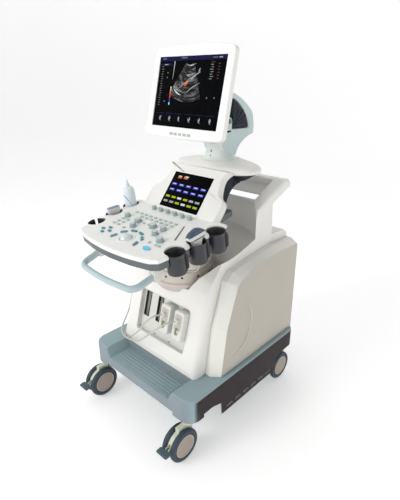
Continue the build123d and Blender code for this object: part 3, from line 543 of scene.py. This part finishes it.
def make_probes():
    """Linear probe in the left middle cup and curved probe in the right one."""
    linear = cup_frame(-1, 1, stand_height, -12)
    body = loft(linear, ((0, 14, 18, 5), (3, 20, 26, 8), (20, 22, 30, 9), (48, 23, 33, 9), (58, 23.4, 36, 9),
                         (68, 22, 47, 9), (76, 21.6, 51, 9), (86, 21, 51.6, 8), (89, 20, 51, 8)))
    body.make("linear_probe_body", probe_white, "console", "probe_shell", ("linear_probe",), smooth=50)
    lens = loft(linear, ((88.5, 17, 48, 7), (90, 16.4, 47, 7), (91.6, 14, 45, 6), (92, 10, 42, 4)))
    lens.make("linear_probe_lens", window_blue, "console", "navy_trim", smooth=60)
    convex = cup_frame(1, 1, stand_height)
    body = loft(convex, ((0, 16, 18, 6), (4, 22, 26, 9), (30, 25, 31, 10), (58, 25.6, 32, 10),
                         (72, 26, 42, 10), (80, 26, 66, 11), (85, 26, 78, 11), (90, 25.4, 78, 11),
                         (93, 24, 75, 10)))
    body.make("convex_probe_body", probe_white, "console", "probe_shell", ("convex_probe",), smooth=50)
    head_radius, head_middle = 48.0, 62.0
    sections = []
    for h in (91, 95, 99, 103, 106, 108.5, 109.8):
        half = math.sqrt(head_radius ** 2 - (h - head_middle) ** 2)
        sections.append((h, 22.5 - max(0, h - 100) * 0.8, 2 * half, 7))
    loft(convex, sections).make("convex_probe_lens", probe_lens, "console", "navy_trim", smooth=60)
    band = loft(convex, ((78, 26.6, 60.5, 11), (79, 27, 62.5, 11), (81, 27, 68.5, 11), (82, 26.5, 70, 11)))
    band.make("convex_probe_band", slate, "console", "slate_trim", smooth=60)


def make_gel_bottle():
    """Squeeze bottle with a ribbed collar, a pointed nozzle and a curved stripe."""
    place = cup_frame(-1, 2, stand_height)
    profile = round_corners([(0.01, 0), (21, 0), (23.6, 5), (23.4, 128), (19, 139), (9, 144), (7, 147)],
                            [0, 4, 2, 10, 7, 3, 0], 5, closed=False)
    body = lathe(place, profile)
    body.make("bottle_body", bottle_white, "gel_bottle", "bottle", ("gel_bottle",), smooth=60)
    cap = round_corners([(8.0, 146), (8.4, 154), (5.4, 157), (4.4, 165), (3.2, 171.6), (0.01, 171.8)],
                        [0, 1.5, 2, 3, 1, 0], 4, closed=False)
    nozzle = lathe(place, cap, segments=72, waves=(24, 0.3, 148, 153))
    nozzle.make("bottle_cap", bottle_white, "gel_bottle", "bottle", smooth=35)
    rings, steps, width = [], 24, 2.2
    for k in range(steps + 1):
        t = k / steps
        turn, height = math.radians(-100 + 78 * t), 112 - 46 * t ** 2
        rings.append([place @ Vector((r * math.cos(turn), r * math.sin(turn), z))
                      for r, z in ((23.9, height + width), (23.9, height - width), (22.9, height - width),
                                   (22.9, height + width))])
    Shape().rings(rings).make("bottle_stripe", bottle_blue, "gel_bottle", "bottle", smooth=50)


# ---- touch casing and neck ----
def ellipse_ring(a, b, middle_y, z, power):
    """Level ring of 96 points, an ellipse for power 2 and squarer above it."""
    ring = []
    for k in range(96):
        t = 2 * math.pi * k / 96
        c, s = math.cos(t), math.sin(t)
        x = math.copysign(abs(c) ** (2 / power), c) * a
        y = math.copysign(abs(s) ** (2 / power), s) * b
        ring.append(at(x, middle_y + y, z))
    return ring


def make_touch_casing():
    """Stepped casing of the touch panel with rounded shoulders, and the panel's glass."""
    right = [(181, -86), (183, -14), (174, 4), (152, 14), (141, 32), (127, 78), (135, 100), (146, 112)]
    radii = [10, 26, 26, 24, 24, 40, 24, 0]
    outline = round_corners([(-x, v) for x, v in right[::-1]] + right, radii[::-1] + radii, 6)
    casing = block(touch, outline, -30, 0.0, 5)
    casing.make("touch_casing", white, "console", "white_shell", ("touch_housing",), smooth=50)
    lip = block(touch, rectangle(203, 154, 5), -0.5, 0.7, 0.6)
    lip.make("touch_lip", deck_white, "console", "white_shell")
    panel = block(touch, rectangle(touch_width, touch_height, 2), -0.5, glass_height, 0.3)
    panel.make("touch_glass", glass, "console", "display", ("touch_screen",))


def bay_outline(side_gap):
    """Plan of the console with a round bay at each cup, anticlockwise on the deck plane."""
    edge = [(0, -194 + side_gap), (100, -187.5 + side_gap), (182 - side_gap, -172 + side_gap),
            (206 - side_gap, -154), (214 - side_gap, -122)]
    radius = 32.4 + side_gap
    for (x, v), edge_x in zip(cup_offsets, (216, 219, 223)):
        reach = math.degrees(math.acos((edge_x - side_gap - x) / radius))
        for k in range(13):
            a = math.radians(-reach - (360 - 2 * reach) * k / 12)
            edge.append((x + radius * math.cos(a), v + radius * math.sin(a)))
    edge += [(225 - side_gap, 124), (212, 134)]
    mirrored = [(-x, v) for x, v in edge[:0:-1]]
    return round_corners(mirrored + edge, 2.5, 3)


def make_tray():
    """Slate tray under the deck, and the dark riser that carries the touch panel and the arm."""
    tray = block(deck, bay_outline(2.0), -40, -14.2, 2.0, True)
    block(deck, rectangle(300, 140, 12, (0, 190)), -40, -14.2, 6, True, shape=tray)
    tray.make("console_tray_skirt", slate, "console", "slate_trim", ("console_tray",), smooth=50)
    riser = Shape()
    outline = round_corners([(-84, 796), (-20, 786), (14, 802), (36, 856), (62, 888), (124, 910), (182, 924),
                             (188, 936), (14, 936)], [6, 8, 20, 20, 24, 20, 8, 4, 8], 4)
    block(sideways, outline, -126, 126, 2.5, True, riser)
    for k in range(4):
        rib = [(64 + 28 * k, 898 + 5 * k), (72 + 28 * k, 896 + 5 * k), (92 + 24 * k, 934), (84 + 24 * k, 934)]
        block(sideways, round_corners(rib, 2), -129, 129, 1.4, True, riser)
    riser.make("console_riser", navy, "console", "navy_trim", smooth=40)


def make_saddle():
    """Wing that flows up into the foot of the neck, with a ribbed dark underside."""
    # Half width, half depth and height of each ring.
    stations = ((178, 90, 936.5), (189, 97, 938), (192, 100, 943), (192, 100, 949), (189, 98, 955),
                (180, 95, 960), (160, 92, 963.5), (132, 89.5, 966), (110, 87.5, 968), (96, 86, 970),
                (86, 82, 972.2), (78, 77, 974.2), (69, 69, 975))
    rings = []
    for a, b, z in stations:
        share = (192 - a) / (192 - 69)      # from the widest ring to the neck's foot
        rings.append(ellipse_ring(a, b, neck_y - 12 * (1 - share), z, 2.25 - 0.25 * share))
    Shape().rings(rings).make("saddle_wing", white, "console", "white_shell", smooth=50)
    under = Shape()
    for k in range(7):
        z = 936.5 - 4.2 * k
        under.rings([ellipse_ring(a - 7 * k, b - 2 * k, neck_y - 12, z - drop, 2.2)
                     for a, b, drop in ((181, 92, 0.0), (179, 90, 2.8), (175, 87, 4.2))])
    under.make("saddle_underside", navy, "console", "navy_trim", smooth=30)


def make_neck():
    """Neck column flaring into its foot, and the arm that folds back and forward again."""
    profile = [(68, 975.3), (66, 977), (60, 982), (55.5, 990), (52, 1002), (50, 1018), (49.5, 1032),
               (46, 1037)]
    column = lathe(upright, round_corners(profile, 6, 3, closed=False), (0, neck_y), 72)
    limb = round_corners([(92, 1020), (128, 985), (178, 985), (184, 1003), (205, 1026), (240, 1047),
                          (284, 1056), (287, 1088), (277, 1138), (220, 1184), (160, 1211), (150, 1205),
                          (152, 1197), (186, 1180), (224, 1148), (247, 1112), (254, 1087), (246, 1080),
                          (112, 1084), (90, 1070)],
                         [16, 12, 8, 12, 20, 24, 6, 16, 18, 40, 6, 4.5, 4.5, 20, 30, 20, 4, 5, 14, 12], 6)
    block(sideways, limb, -47, 47, 4, True, column, steps=5)
    lug = round_corners([(104, 1070), (150, 1070), (150, 1126), (104, 1126)], 16)
    for low, high in ((-47, -30), (30, 47)):
        block(sideways, lug, low, high, 3, True, column)
    column.make("neck_arm_shell", arm_white, "neck", "arm_shell", ("neck_arm",), smooth=50)
    screws = Shape()
    facing = tilted((0, 0, 0), 90)
    for z, radius, reach in ((1007, 3.2, 52.6), (991, 2.4, 56.6)):
        block(facing, rectangle(2 * radius, 2 * radius, radius * 0.98, (4, z)), 50.4 - neck_y, reach - neck_y,
              0.4, shape=screws)
    screws.make("neck_screws", slate, "neck", "screw_steel")
    filler = round_corners([(160, 1085), (253, 1085), (246, 1112), (223, 1146), (186, 1177), (160, 1189)],
                           [3, 3, 16, 20, 16, 3])
    ribs = block(sideways, filler, -42, 42, 2, True)
    for k in range(4):
        turn, reach = math.radians(8 + 19 * k), (70, 78, 76, 68)[k]
        along, across = Vector((math.cos(turn), math.sin(turn))), Vector((-math.sin(turn), math.cos(turn)))
        start = Vector((166, 1092))
        rib = [start + along * 6 - across * 1.5, start + along * reach - across * 3,
               start + along * reach + across * 3, start + along * 6 + across * 1.5]
        block(sideways, rib, -43.6, 43.6, 1.0, True, ribs)
    ribs.make("tilt_shroud_ribs", navy, "neck", "navy_trim", ("tilt_shroud",), smooth=40)
    pin = Shape()
    for x in (-49.5, 46.0):
        block(sideways, [(134 + 9 * math.cos(math.radians(a)), 1112 + 9 * math.sin(math.radians(a)))
                         for a in range(0, 360, 12)], x, x + 3.5, 1.0, True, pin)
    pin.make("tilt_pin_caps", slate, "neck", "slate_trim", smooth=50)


# ---- screens ----
def streak(shape, start, stop, width, bow=0.0, height=0.55):
    """Curved bright streak, pointed at both ends."""
    start, stop = Vector(start), Vector(stop)
    across = Vector((-(stop - start).y, (stop - start).x)).normalized()
    upper, lower = [], []
    for k in range(11):
        t = k / 10
        middle = start.lerp(stop, t) + across * bow * math.sin(math.pi * t)
        half = across * width / 2 * (0.12 + math.sin(math.pi * t))
        upper.append(middle + half)
        lower.append(middle - half)
    block(screen, lower + upper[::-1], 0.0, height, 0.08, shape=shape, steps=1)


def make_monitor_picture():
    """Generic menu marks, a colour bar and an echo sector, as thin lit patches on the panel."""
    finishes = {"navy": ui_navy, "blue": ui_blue, "white": ui_white, "dim": ui_dim, "yellow": ui_yellow,
                "orange": ui_orange, "rust": ui_rust, "red": ui_red, "cyan": ui_cyan, "grey": ui_grey}
    marks = {name: Shape() for name in finishes}
    patch(marks["navy"], screen, 0, 109.5, 310, 14)
    patch(marks["dim"], screen, -34, 111, 30, 3, 0.6)
    patch(marks["dim"], screen, -132, 110, 18, 3, 0.6)
    patch(marks["dim"], screen, 105, 109, 20, 2.4, 0.6)
    patch(marks["grey"], screen, 128, 109, 14, 3, 0.6)
    patch(marks["navy"], screen, -118, 91, 54, 8)
    patch(marks["grey"], screen, -120, 91, 18, 2.6, 0.6)
    for k in range(17):
        patch(marks["dim"], screen, -136 + (k % 3), 84 - 8 * k, 8 + 2 * (k % 2), 1.8)
    for v in (64, 48, -32):
        patch(marks["dim"], screen, -108, v, 5, 4)
    for k, colour in enumerate(("white", "yellow", "orange", "red", "red", "blue", "blue", "cyan")):
        patch(marks[colour], screen, -82, 14 - 7.6 * k, 4.6, 7.6, radius=0.2)
    wedge = round_corners([(-81.5, 101), (-79.6, 41), (-78.9, 41), (-76.6, 101)], 0.4, 2)
    block(screen, wedge, 0, 0.35, 0.1, shape=marks["grey"], steps=1)
    for k in range(8):
        shape = marks["rust" if k == 0 else "dim"]
        patch(shape, screen, 99 - (k % 2) * 3, 95 - 7.4 * k, 15 - (k % 3) * 3, 2.6)
    for k in range(6):
        patch(marks["rust"], screen, 126 + (k % 2), 90 - 9 * k, 9, 2.6)
    for x, v in ((93, -16), (125, -15)):
        patch(marks["dim"], screen, x, v, 4, 5)
    for k in range(6):
        x = -120 + 48 * k
        patch(marks["navy"], screen, x, -72, 40, 2.4)
        patch(marks["navy"], screen, x - 20, -88, 0.9, 32)
        start, stop = (x + 6 - 2 * (k % 3), -80), (x - 2 + 3 * (k % 2), -95)
        streak(marks["grey"], start, stop, 3.6 + 1.2 * (k % 2), 1.5, 0.4)
        streak(marks["dim"], (x - 3, -82), (x + 7, -99), 4.6, -2.0, 0.3)
    for start, stop, width, bow in (((-55, 4), (35, 61), 2.2, 2), ((-10, -5), (53, 31), 2.6, 3),
                                    ((5, 42), (50, 66), 3.0, 1), ((40, 62), (46, 78), 4.0, 0),
                                    ((-8, 30), (34, 58), 2.4, -2)):
        streak(marks["grey"], start, stop, width, bow)
    streak(marks["white"], (-69, 13), (-28, -10), 4.2, -3.5)
    streak(marks["white"], (-23, 92), (25, 93), 1.6, -6.5)
    streak(marks["orange"], (-17, 20), (1, 37), 9, 2.0, 0.8)
    streak(marks["red"], (-16, 19), (-7, 27), 5, 0.5, 0.9)
    for name, shape in marks.items():
        shape.make("screen_marks_" + name, finishes[name], "monitor", "display")
    make_sector()


def make_sector():
    """Echo sector as a fine fan of faces with its angle and depth as coordinates."""
    apex, near, far = Vector((1, 132)), 42.0, 164.0
    sweep_from, sweep_to, across, down = -123.0, -67.0, 36, 30
    points, faces, coords = [], [], []
    for i in range(across + 1):
        for j in range(down + 1):
            a = math.radians(sweep_from + (sweep_to - sweep_from) * i / across)
            d = near + (far - near) * j / down
            p = apex + Vector((math.cos(a), math.sin(a))) * d
            points.append(screen @ Vector((p.x, p.y, 0.3)))
            coords.append((i / across, j / down))
    for i in range(across):
        for j in range(down):
            k = i * (down + 1) + j
            faces.append([k, k + 1, k + down + 2, k + down + 1])
    fan = Shape().add(points, faces).make("echo_sector", echo_material(), "monitor", "display")
    layer = fan.data.uv_layers.new(name="sector")
    for loop in fan.data.loops:
        layer.data[loop.index].uv = coords[loop.vertex_index]


def make_bezel_buttons():
    """Five buttons on a raised strip under the screen, and the power lamp."""
    strip = block(screen, rectangle(106, 12, 5, (-4, -140)), 1.4, 2.1, 0.5)
    strip.make("bezel_button_strip", deck_white, "monitor", "white_shell")
    buttons = Shape()
    for x in (-47, -26, -4, 18, 39):
        block(screen, rectangle(16, 9, 2.6, (x, -140)), 1.9, 3.2, 0.7, shape=buttons)
    buttons.make("bezel_buttons", button_grey, "monitor", "knob_grey")
    lamp_spot = block(screen, rectangle(4, 1.6, 0.7, (84, -138)), 1.6, 2.6, 0.3)
    lamp_spot.make("bezel_power_lamp", ui_red, "monitor", "display")


def make_touch_picture():
    """Rows of lit keys without lettering on the touch panel's glass."""
    finishes = {"blue": ui_blue, "green": ui_green, "white": ui_white, "grey": ui_grey, "orange": ui_orange}
    keys = {name: Shape() for name in finishes}
    face = touch @ Matrix.Translation((0, 0, glass_height))
    for v in (22, -1):
        for x in (-73, -36, 0, 37, 74):
            patch(keys["blue"], face, x, v, 26, 10)
            patch(keys["white"], face, x, v + 1, 17, 3.4, 0.6)
    for v, row in ((-30, ("green", "green", "white", "green", "grey", "grey")),
                   (-50, ("grey", "grey", "green", "white", "green", "green"))):
        for x, colour in zip((-77, -46, -16, 15, 45, 75), row):
            patch(keys[colour], face, x, v, 21, 8)
    patch(keys["orange"], face, -62, 53, 20, 11)
    patch(keys["white"], face, -62, 56, 14, 4, 0.6)
    patch(keys["orange"], face, -32, 54, 20, 11)
    patch(keys["white"], face, -28, 58, 18, 4, 0.6)
    for name, shape in keys.items():
        shape.make("touch_keys_" + name, finishes[name], "console", "display")


# ---- base and casters ----
def make_wheels(name, x, axle_y):
    """Twin wheels, each with its tread, black side ring, domed hub cap and rim."""
    half, from_middle = 10.5, 19.5
    tread, ring, cap, rim = Shape(), Shape(), Shape(), Shape()
    for side in (-1, 1):
        axis = Matrix.Translation(at(x + side * from_middle, axle_y, wheel_radius)) @ along_x @ mm
        outline = round_corners([(46, -half + 1), (57, -half), (wheel_radius, -half + 4.5),
                                 (wheel_radius, half - 4.5), (57, half), (46, half - 1)],
                                [0, 4, 6, 6, 4, 0], 5)
        lathe(axis, outline, segments=80, closed=True, shape=tread)
        band = round_corners([(42, -half + 2.2), (44, -half + 0.6), (47.2, -half + 0.8), (47.2, half - 0.8),
                              (44, half - 0.6), (42, half - 2.2)], 1, 2)
        lathe(axis, band, segments=64, closed=True, shape=ring)
        dish = [(0.01, side * 9.3), (12, side * 9.3), (30, side * 9.0), (38.5, side * 8.4), (40, side * 6)]
        lathe(axis, round_corners(dish, [0, 4, 5, 1.5, 0], 3, closed=False), segments=64, shape=cap)
        lathe(axis, [(39.6, -8.4), (40.2, -9.3), (42.0, -9.4), (43.2, -8.4), (43.2, 8.4), (42.0, 9.4),
                     (40.2, 9.3), (39.6, 8.4)], segments=64, closed=True, shape=rim)
    body = "wheels_" + name
    tread.make("wheel_tread_" + name, tyre, body, "tyre", ("caster_wheels_" + name,), smooth=50)
    ring.make("wheel_side_ring_" + name, black, body, "fitting_black", smooth=50)
    cap.make("wheel_hub_cap_" + name, hub_tan, body, "caster_housing", smooth=40)
    rim.make("wheel_hub_rim_" + name, hub_rim, body, "caster_housing", smooth=40)


def make_pedal(name, x, y):
    """Ribbed foot pedal on its arm, in front of a caster whose stem is at x, y."""
    axle_y = y - caster_trail
    front_edge = axle_y - wheel_radius - 3
    plane = tilted((x, front_edge - 13, 70), 4)
    pad = block(plane, rectangle(52, 26, 7), 0.6, 6.6, 2.4, True)
    for k in range(4):
        block(plane, rectangle(42, 2.4, 1.1, (0, -7.5 + 5 * k)), 5.5, 7.6, 0.8, shape=pad)
    arm = round_corners([(front_edge - 16, 71), (front_edge - 10, 63), (axle_y - 52, 62.2),
                         (axle_y - 50.5, 68), (axle_y - 52, 73.8), (front_edge - 6, 73.8)], 3)
    block(Matrix.Translation((x / 1000, 0, 0)) @ sideways, arm, -4, 4, 1, True, pad)
    pad.make(f"brake_pedal_pad_{name}", pedal_teal, f"pedal_front_{name}", "pedal_teal",
             (f"brake_pedal_front_{name}",), smooth=45)


def make_base_details():
    """Ribs of the front step and the bar along its front edge."""
    step = Shape()
    for k in range(6):
        block(upright, rectangle(312, 9, 4, (0, -318 + 14.4 * k)), 202, 205.2, 1.6, shape=step)
    step.make("step_ribs", base_grey, "root", "base_blue")
    border = block(upright, rectangle(336, 7, 3, (0, -326)), 201, 204.6, 2)
    border.make("step_border", base_grey, "root", "base_blue")


def make_turret_screws():
    """Dark screw heads in the hollows round the turret's band."""
    heads, band_radius, turret_y, height = Shape(), 115.4, -78, 590
    for k in range(12):
        turn = math.radians(30 * k + 15)
        place = at(band_radius * math.cos(turn), turret_y + band_radius * math.sin(turn), height)
        outwards = Matrix.Rotation(turn, 4, "Z") @ Matrix.Rotation(math.radians(90), 4, "Y")
        spot = Matrix.Translation(place) @ outwards @ mm
        block(spot, rectangle(8.4, 8.4, 4.1), 0, 2.4, 0.5, shape=heads)
    heads.make("turret_screws", black, "root", "screw_steel")


def make_front_fittings():
    """Beige insets and latches of the two plugged connectors, and the dark sleeves round the sockets."""
    insets, latches = Shape(), Shape()
    for x in (36, 108):
        block(front, rectangle(34, 60, 9, (x, 8)), 43.5, 45.4, 1.2, shape=insets)
        block(front, rectangle(12, 26, 5, (x, -26)), 44, 50, 2.5, shape=latches)
    insets.make("connector_insets", beige, "root", "probe_shell")
    latches.make("connector_latches", olive, "root", "fitting_black")
    frames = Shape()
    for x in (-107, -36):
        outer = rectangle(30, 106, 4, (x, 0))
        inner = rectangle(22, 98, 2, (x, 0))
        frames.rings([on(front, outer, 0.1), on(front, inset(outer, 0.8), 2.2),
                      on(front, inset(inner, -0.8), 2.2), on(front, inner, 0.6), on(front, inner, -8)],
                     caps=False)
    frames.make("socket_frames", black, "root", "fitting_black")


# ---- finishes of the nodes that keep their CAD shape, and the width of their rounded edges ----
node_finish = {
    "base_cover": (base_grey, 2.5), "base_frame": (steel_black, 0), "centre_housing": (white, 2.5),
    "rear_handle": (white, 4), "side_cover_left": (side_white, 9), "side_cover_right": (side_white, 9),
    "rear_cover": (white, 0.6), "rear_fittings": (black, 0.5), "connector_panel": (recess_grey, 0.8),
    "probe_connectors": (probe_white, 1), "electronics_module": (sheet_metal, 0),
    "turret_base": (turret_shade_tan, 1.5), "panel_screws": (zinc, 0.4), "console_deck": (deck_white, 1),
    "console_pan": (pan_cream, 4), "front_handle": (handle_grey, 0), "monitor_bezel": (deck_white, 1.2),
    "lcd_panel": (glass, 0.3), "monitor_rear": (white, 5), "trackball": (ball, 0),
    "function_keys": (key_grey, 0.9), "teal_keys": (key_teal, 0.9), "freeze_key": (key_cyan, 1.2)}
for end in ("front", "rear"):
    for hand in ("left", "right"):
        node_finish[f"caster_fork_{end}_{hand}"] = (caster_cream, 2)


def finish_cad_nodes():
    for name, (finish, edge) in node_finish.items():
        obj = nodes[name]
        obj.data.materials.clear()
        obj.data.materials.append(finish)
        if edge:
            soften(obj, edge)


# ---- stage, light and camera ----
def studio_world():
    """Pale surround, brightest on the object's left and dimmer on its right."""
    world = bpy.data.worlds.new("studio")
    world.use_nodes = True
    new, link = world.node_tree.nodes.new, world.node_tree.links.new
    coords, split = new("ShaderNodeTexCoord"), new("ShaderNodeSeparateXYZ")
    dim = preset(new("ShaderNodeMapRange"), From_Min=-0.7, From_Max=0.9, To_Min=0.86, To_Max=0.10)
    link(coords.outputs["Generated"], split.inputs["Vector"])
    link(split.outputs["X"], dim.inputs["Value"])
    background = preset(world.node_tree.nodes["Background"], Color=(1, 1, 1, 1))
    link(dim.outputs["Result"], background.inputs["Strength"])
    return world


def make_stage():
    """Pale floor that sweeps up into a far round backdrop, two soft lights and the world."""
    floor_finish = material("studio_floor", (0.90, 0.90, 0.90), tint=0.004, rough=0.8, bump=0.01, patch=0.8,
                            glow=0.37, specular=0.1)
    flat_reach, sweep_radius, wall_top, count = 6.5, 3.5, 6.0, 64
    profile = [(0.01, 0.0), (flat_reach * 0.5, 0.0)]
    for k in range(13):
        a = math.radians(7 * k)
        profile.append((flat_reach + sweep_radius * math.sin(a), sweep_radius * (1 - math.cos(a))))
    profile.append((flat_reach + sweep_radius, wall_top))
    sweep = Shape().rings([[(r * math.cos(2 * math.pi * k / count), r * math.sin(2 * math.pi * k / count), z)
                            for k in range(count)] for r, z in profile], caps=False)
    mesh = bpy.data.meshes.new("studio_floor")
    mesh.from_pydata([tuple(p) for p in sweep.points], [], sweep.faces)
    mesh.shade_smooth()
    floor = bpy.data.objects.new("studio_floor", mesh)
    bpy.context.scene.collection.objects.link(floor)
    mesh.materials.append(floor_finish)
    bpy.context.scene.world = studio_world()
    bpy.context.scene.view_settings.view_transform = "Standard"
    aim = Vector((0, 0, 0.7))
    for name, place, size, power in (("key", (-1.1, -3.6, 2.7), 1.8, 64), ("top", (-0.6, 0.4, 3.6), 2.0, 8)):
        data = bpy.data.lights.new(name, "AREA")
        data.size, data.energy = size, power
        light = bpy.data.objects.new(name, data)
        light.location = place
        light.rotation_euler = (aim - Vector(place)).to_track_quat("-Z", "Y").to_euler()
        bpy.context.scene.collection.objects.link(light)


def make_camera():
    """Camera at the photograph's viewing angle."""
    yaw, pitch, roll = math.radians(43.31), math.radians(22.12), math.radians(-0.23)
    data = bpy.data.cameras.new("view")
    data.lens, data.sensor_width = 29.66, 36.0
    data.shift_x, data.shift_y = -0.0021, -0.0108
    camera = bpy.data.objects.new("view", data)
    camera.location = (1.0481, -1.0299, 1.2633)
    forward = Vector((-math.sin(yaw) * math.cos(pitch), math.cos(yaw) * math.cos(pitch), -math.sin(pitch)))
    right = Vector((math.cos(yaw), math.sin(yaw), 0))
    up = right.cross(forward)
    right, up = right * math.cos(roll) + up * math.sin(roll), up * math.cos(roll) - right * math.sin(roll)
    camera.rotation_euler = Matrix((right, up, -forward)).transposed().to_euler()
    bpy.context.scene.collection.objects.link(camera)
    bpy.context.scene.camera = camera


make_camera()
make_cable("linear_cable", linear_route)
make_cable("convex_cable", convex_route)
make_cups("cups_left", -1)
make_cups("cups_right", 1)
make_console_controls()
make_probes()
make_gel_bottle()
make_touch_casing()
make_tray()
make_saddle()
make_neck()
make_monitor_picture()
make_bezel_buttons()
make_touch_picture()
for left_right, side_x in (("left", -caster_x), ("right", caster_x)):
    for front_rear, stem_y in (("front", -caster_y), ("rear", caster_y)):
        make_wheels(f"{front_rear}_{left_right}", side_x, stem_y - caster_trail)
    make_pedal(left_right, side_x, -caster_y)
make_base_details()
make_turret_screws()
make_front_fittings()
finish_cad_nodes()
make_stage()
